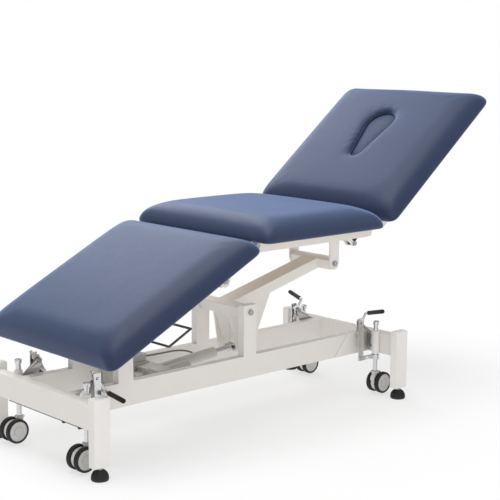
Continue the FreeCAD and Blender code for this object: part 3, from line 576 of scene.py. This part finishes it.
def smooth_out(obj, factor, rounds):
    modifier = obj.modifiers.new("even", "SMOOTH")
    modifier.factor = factor
    modifier.iterations = rounds
    apply_modifiers(obj)


def subdivide(obj):
    modifier = obj.modifiers.new("fine", "SUBSURF")
    modifier.levels = 1
    modifier.render_levels = 1
    apply_modifiers(obj)


def hole_outline(grow, count=96):
    """Teardrop of the breathing hole, evenly spaced points, from the plug's own outline."""
    low, high = PLUG.low, PLUG.high
    wide_r = (high.y - low.y) / 2
    narrow_r = wide_r * HOLE_TAPER
    wide_x, narrow_x = high.x - wide_r, low.x + narrow_r
    tilt = math.asin((wide_r - narrow_r) / (wide_x - narrow_x))
    wide_r += grow
    narrow_r += grow
    dense = []
    ends = [
        (wide_x, wide_r, -(math.pi / 2 + tilt), math.pi + 2 * tilt),
        (narrow_x, narrow_r, math.pi / 2 + tilt, math.pi - 2 * tilt),
    ]
    for x, radius, start, sweep in ends:
        for k in range(ARC_STEPS + 1):
            turn = start + sweep * k / ARC_STEPS
            dense.append(Vector((x + radius * math.cos(turn), radius * math.sin(turn), 0)))
    return resample(dense, count)


def resample(loop, count):
    """Evenly spaced points round a closed loop."""
    lengths = [(loop[(i + 1) % len(loop)] - p).length for i, p in enumerate(loop)]
    total = sum(lengths)
    result = []
    i, walked = 0, 0.0
    for k in range(count):
        target = total * k / count
        while walked + lengths[i] < target:
            walked += lengths[i]
            i += 1
        share = (target - walked) / max(lengths[i], 1e-9)
        result.append(loop[i].lerp(loop[(i + 1) % len(loop)], share))
    return result


def distance_to_hole(points):
    """Plan distance of each point outside the hole's edge."""
    loop = np.array([tuple(p)[:2] for p in hole_outline(HOLE_GAP, 240)])
    best = np.full(len(points), 1e9)
    for corner in loop:
        best = np.minimum(best, np.hypot(points[:, 0] - corner[0], points[:, 1] - corner[1]))
    return best


def cut_hole(obj):
    """Takes the breathing hole out of the head pad."""
    bm = bmesh.new()
    clear = 20 * MM
    low, high = HEAD.low.z - clear, HEAD.high.z + clear
    floor = bm.faces.new([bm.verts.new((p.x, p.y, low)) for p in hole_outline(HOLE_GAP)])
    raised = bmesh.ops.extrude_face_region(bm, geom=[floor])
    top = [g for g in raised["geom"] if isinstance(g, bmesh.types.BMVert)]
    bmesh.ops.translate(bm, verts=top, vec=(0, 0, high - low))
    cutter = mesh_object("hole_cutter", bm, VINYL)
    modifier = obj.modifiers.new("hole", "BOOLEAN")
    modifier.operation = "DIFFERENCE"
    modifier.object = cutter
    modifier.solver = "EXACT"
    apply_modifiers(obj)
    bpy.data.objects.remove(cutter)


def make_pad(section, body, has_hole=False):
    """One upholstered pad: foam block, swollen cover, crowned top, smoothed and set in place."""
    pad = pad_blank(section)
    if has_hole:
        cut_hole(pad)
    remesh(pad, PAD_VOXEL)
    points = points_of(pad)
    held = points[:, 2] < section.low.z + HELD_HEIGHT
    if has_hole:
        held |= distance_to_hole(points) < HOLE_HELD
    inflate(pad, held)
    smooth_out(pad, 0.5, 12)
    shaped = crown(points_of(pad), section)
    if has_hole:
        near = np.clip(1 - distance_to_hole(shaped) / HOLE_SOFT, 0, 1)
        top = np.clip((shaped[:, 2] - section.low.z) / (section.high.z - section.low.z), 0, 1)
        shaped[:, 2] -= HOLE_EDGE_SINK * near**2 * top**3
        shaped[:, 2] = pucker(shaped, top**3)
    shaped[:, 2] = np.maximum(shaped[:, 2], section.low.z)
    set_points(pad, shaped)
    subdivide(pad)
    section.settle(pad)
    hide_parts(section.node)
    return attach(pad, body)


seat_pad = make_pad(SEAT, "seat")
leg_pad = make_pad(LEG, "leg_section")
head_pad = make_pad(HEAD, "head_section", has_hole=True)


def make_plug():
    """Crowned teardrop cushion that fills the breathing hole."""
    low, high = PLUG.low.z, PLUG.high.z
    rim = high - PLUG_RIM
    centre = Vector(((PLUG.low.x + PLUG.high.x) / 2 + 8 * MM, 0, 0))
    rows = [(low, -3 * MM), (low, 0.0), (rim - 12 * MM, 0.0), (rim - 4 * MM, -0.6 * MM)]
    bm = bmesh.new()
    rings = []
    for z, grow in rows:
        rings.append([bm.verts.new((p.x, p.y, z)) for p in hole_outline(grow)])
    shares = [0.985, 0.95, 0.9, 0.8, 0.68, 0.54, 0.4, 0.26, 0.12]
    for share in shares:
        height = rim + PLUG_CROWN * (1 - share**3.2)
        ring = []
        for p in hole_outline(-0.6 * MM):
            q = centre.lerp(p, share)
            ring.append(bm.verts.new((q.x, q.y, height)))
        rings.append(ring)
    stitch(bm, rings)
    plug = mesh_object("breathing_hole_plug_pad", bm, PLUG_VINYL)
    subdivide(plug)
    PLUG.settle(plug)
    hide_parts("breathing_hole_plug")
    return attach(plug, "breathing_hole_plug")


make_plug()


def hole_welt():
    """Sewn welt round the mouth of the breathing hole, coloured with the darker seam vinyl as
    painted shade of the sunk seam.
    """
    level = HEAD.high.z - HOLE_EDGE_SINK - 1.0 * MM
    loop = [Vector((p.x, p.y, level)) for p in hole_outline(1.4 * MM, 160)]
    welt = mesh_object("breathing_hole_welt", cord_along(loop, WELT_R), SEAM_SHADE_VINYL)
    HEAD.settle(welt)
    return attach(welt, "head_section")


hole_welt()

# ---------------------------------------------------------------- studio


FLOOR_GLOW = 0.62  # share of plain white light in the floor right under the couch
WORLD_LIGHT = 0.44
LIGHTS = [  # name, power, size, place, target
    ("key", 98.0, 3.0, (-0.5, -0.1, 3.7), (0, 0, 0.5)),
    ("fill", 26.0, 3.0, (-1.9, -3.3, 1.4), (0, 0, 0.4)),
    ("back", 50.0, 2.6, (0.9, 2.8, 2.9), (0.0, 0, 0.6)),
]

CAMERA_PLACE = (-3.0910, -3.3711, 1.3408)
CAMERA_LOOK = (0.66724, 0.72680, -0.16295)
CAMERA_ROLL = 0.38  # degrees
CAMERA_LENS = 92.0  # mm, on a sensor 36 mm wide


def area_light(name, energy, size, place, target):
    data = bpy.data.lights.new(name, "AREA")
    data.energy = energy
    data.shape = "DISK"
    data.size = size
    lamp = bpy.data.objects.new(name, data)
    lamp.location = place
    lamp.rotation_mode = "QUATERNION"
    lamp.rotation_quaternion = (Vector(target) - Vector(place)).to_track_quat("-Z", "Y")
    bpy.context.scene.collection.objects.link(lamp)


def studio():
    """Pale floor that fades into white surroundings, and large soft lights."""
    bm = bmesh.new()
    bmesh.ops.create_grid(bm, x_segments=8, y_segments=8, size=14.0)
    floor = mesh_object("floor", bm, floor_material())
    floor.location.z = -0.5 * MM
    white_world(WORLD_LIGHT)
    for light in LIGHTS:
        area_light(*light)


def floor_material():
    """Matt white floor near the couch, turning into plain white light further out."""
    look = Look("floor")
    look.colour((0.86, 0.86, 0.86), (0.89, 0.89, 0.89), look.noise(3.0))
    look.set(Roughness=0.95, Specular_IOR_Level=0.1)
    nodes, links = look.nodes, look.links
    reach = nodes.new("ShaderNodeVectorMath")
    reach.operation = "LENGTH"
    shrink = nodes.new("ShaderNodeMapping")
    shrink.inputs["Scale"].default_value = (1 / 1.5, 1.0, 1.0)
    links.new(look.place, shrink.inputs["Vector"])
    links.new(shrink.outputs["Vector"], reach.inputs[0])
    span = nodes.new("ShaderNodeMapRange")
    span.inputs["From Min"].default_value = 0.55
    span.inputs["From Max"].default_value = 1.15
    span.inputs["To Min"].default_value = FLOOR_GLOW
    span.interpolation_type = "SMOOTHSTEP"
    links.new(reach.outputs["Value"], span.inputs["Value"])
    glow = nodes.new("ShaderNodeEmission")
    glow.inputs["Strength"].default_value = 1.0
    blend = nodes.new("ShaderNodeMixShader")
    links.new(span.outputs["Result"], blend.inputs["Fac"])
    links.new(look.shader.outputs["BSDF"], blend.inputs[1])
    links.new(glow.outputs["Emission"], blend.inputs[2])
    links.new(blend.outputs["Shader"], nodes["Material Output"].inputs["Surface"])
    return look.material


def white_world(strength):
    """White in every direction: plain white to the camera, dimmer as a source of light."""
    world = bpy.data.worlds.new("studio")
    bpy.context.scene.world = world
    world.use_nodes = True
    nodes, links = world.node_tree.nodes, world.node_tree.links
    path = nodes.new("ShaderNodeLightPath")
    level = nodes.new("ShaderNodeMapRange")
    level.inputs["To Min"].default_value = strength
    level.inputs["To Max"].default_value = 1.0
    links.new(path.outputs["Is Camera Ray"], level.inputs["Value"])
    nodes["Background"].inputs["Color"].default_value = (1.0, 1.0, 1.0, 1)
    links.new(level.outputs["Result"], nodes["Background"].inputs["Strength"])


def camera():
    """Camera low at the foot end, looking over the near corner to the head end."""
    data = bpy.data.cameras.new("camera")
    data.lens = CAMERA_LENS
    data.sensor_width = 36.0
    cam = bpy.data.objects.new("camera", data)
    turn = Vector(CAMERA_LOOK).to_track_quat("-Z", "Y").to_matrix().to_4x4()
    roll = Matrix.Rotation(math.radians(CAMERA_ROLL), 4, "Z")
    cam.matrix_world = Matrix.Translation(CAMERA_PLACE) @ turn @ roll
    bpy.context.scene.collection.objects.link(cam)
    bpy.context.scene.camera = cam


studio()
camera()
bpy.context.scene.view_settings.view_transform = "Standard"
